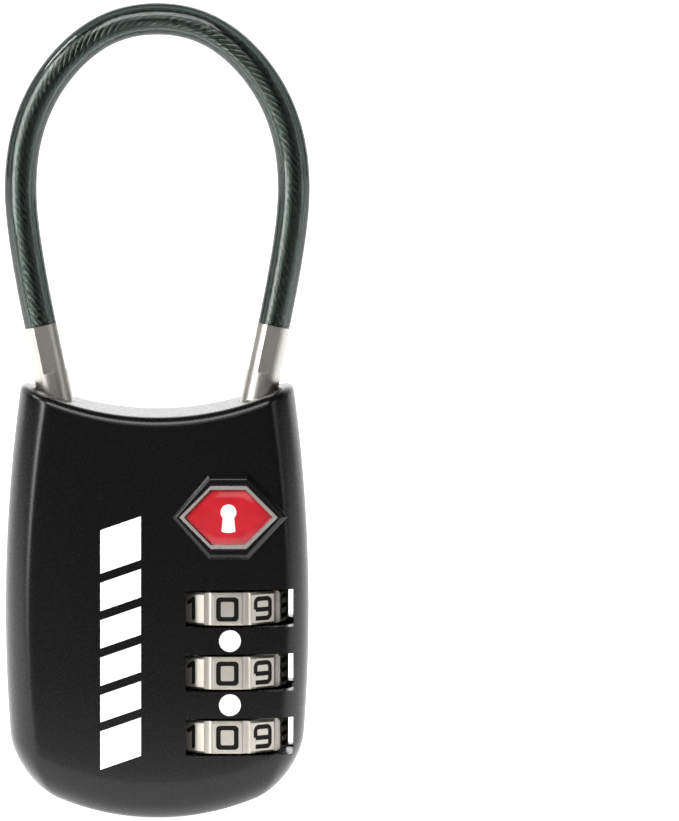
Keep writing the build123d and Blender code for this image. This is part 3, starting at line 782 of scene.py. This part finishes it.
def paint_front_floor_shade(paper):
    """Paints shade into the floor's glow and colour towards the viewer, so that the dark case
    doesn't mirror it.
    """
    nodes, links = paper.node_tree.nodes, paper.node_tree.links
    shader = nodes["Principled BSDF"]
    place = nodes.new("ShaderNodeTexCoord")
    split = nodes.new("ShaderNodeSeparateXYZ")
    links.new(place.outputs["Object"], split.inputs["Vector"])
    # painted shade: the floor's glow and colour drop towards the front, standing in for light that
    # falls off
    for socket, far, near in (("Emission Strength", 1.0, 0.03), ("Base Color", 0.9, 0.08)):
        fall = nodes.new("ShaderNodeMapRange")
        fall.interpolation_type = "SMOOTHSTEP"
        fall.inputs["From Min"].default_value = -0.09
        fall.inputs["From Max"].default_value = -0.012
        fall.inputs["To Min"].default_value = near
        fall.inputs["To Max"].default_value = far
        links.new(split.outputs["Y"], fall.inputs["Value"])
        links.new(fall.outputs["Result"], shader.inputs[socket])


class LOCK_OT_stage(bpy.types.Operator):
    """Set the pale floor, the backdrop, the studio lights and the camera"""

    bl_idname = "lock.stage"
    bl_label = "Studio"

    def execute(self, context):
        start_fresh()
        bpy.ops.mesh.primitive_plane_add(size=4, location=(0, 0, -0.0002))
        floor = settle(named("floor"))
        start_fresh()
        bpy.ops.mesh.primitive_plane_add(
            size=1, location=(0, 1.2, 0.86), rotation=UPRIGHT
        )
        bpy.context.object.scale = (4.0, 1.8, 1)
        backdrop = settle(named("backdrop"))
        for obj, glow in ((floor, 0.75), (backdrop, 1.05)):
            paper = bpy.data.materials.new(obj.name + "_paper")
            paper.use_nodes = True
            shader = paper.node_tree.nodes["Principled BSDF"]
            shader.inputs["Base Color"].default_value = (0.9, 0.9, 0.9, 1)
            shader.inputs["Roughness"].default_value = 0.9
            shader.inputs["Emission Color"].default_value = (1, 1, 1, 1)
            shader.inputs["Emission Strength"].default_value = glow
            obj.data.materials.append(paper)
        # painted shade on the floor's front part
        paint_front_floor_shade(floor.data.materials[0])
        world = context.scene.world or bpy.data.worlds.new("studio")
        context.scene.world = world
        world.use_nodes = True
        world.node_tree.nodes["Background"].inputs["Color"].default_value = (1, 1, 1, 1)
        world.node_tree.nodes["Background"].inputs["Strength"].default_value = 0.06
        middle = (0, 0, 0.04)
        softbox("left_box", (-0.26, -0.18, 0.13), middle, (0.12, 0.26), 1.0)
        softbox("bevel_box", (-0.38, 0.0, 0.40), middle, (0.14, 0.14), 0.8)
        softbox("high_box", (0.0, -0.42, 0.46), middle, (0.45, 0.25), 2.8)
        softbox("front_box", (0.06, -0.52, 0.22), middle, (0.25, 0.14), 0.17)
        softbox("right_box", (0.45, -0.20, 0.12), middle, (0.12, 0.40), 0.25)
        softbox("back_box", (0.1, 0.55, 0.35), middle, (0.5, 0.4), 0.5)
        camera = bpy.data.objects.new("camera", bpy.data.cameras.new("camera"))
        context.scene.collection.objects.link(camera)
        ahead, up = CAMERA_AWAY * math.cos(CAMERA_RISE), CAMERA_AWAY * math.sin(CAMERA_RISE)
        camera.location = (0, -ahead, CAMERA_AIM + up)
        camera.rotation_euler = (math.radians(90) - CAMERA_RISE, 0, 0)
        camera.data.lens = LENS_AT_A_METRE * CAMERA_AWAY
        camera.data.sensor_width = 36
        camera.data.shift_x = CAMERA_SHIFT
        camera.data.clip_start = 0.005
        context.scene.camera = camera
        context.scene.view_settings.view_transform = "Standard"
        context.scene.view_settings.look = "None"
        return {"FINISHED"}


# ------------------------------------------------------------------ panel and registration
class LOCK_PT_panel(bpy.types.Panel):
    """Sidebar panel with the lock's sizes, finishes and building steps"""

    bl_idname = "LOCK_PT_panel"
    bl_label = "Cable Luggage Lock"
    bl_space_type = "VIEW_3D"
    bl_region_type = "UI"
    bl_category = "Lock"

    def draw(self, context):
        for group in (context.scene.lock_sizes, context.scene.lock_finish):
            box = self.layout.box()
            for name in group.__annotations__:
                box.prop(group, name)
        for step in STEPS:
            self.layout.operator(step.bl_idname)


STEPS = (
    LOCK_OT_metalwork, LOCK_OT_case, LOCK_OT_badge, LOCK_OT_print, LOCK_OT_cable, LOCK_OT_stage,
)
CLASSES = (LockSizes, LockFinish, *STEPS, LOCK_PT_panel)


def register():
    for each in CLASSES:
        bpy.utils.register_class(each)
    bpy.types.Scene.lock_sizes = bpy.props.PointerProperty(type=LockSizes)
    bpy.types.Scene.lock_finish = bpy.props.PointerProperty(type=LockFinish)


def unregister():
    del bpy.types.Scene.lock_sizes
    del bpy.types.Scene.lock_finish
    for each in reversed(CLASSES):
        bpy.utils.unregister_class(each)


def main():
    register()
    bpy.ops.lock.metalwork()
    bpy.ops.lock.case()
    bpy.ops.lock.badge()
    bpy.ops.lock.print()
    bpy.ops.lock.cable()
    bpy.ops.lock.stage()


if __name__ == "__main__":
    main()
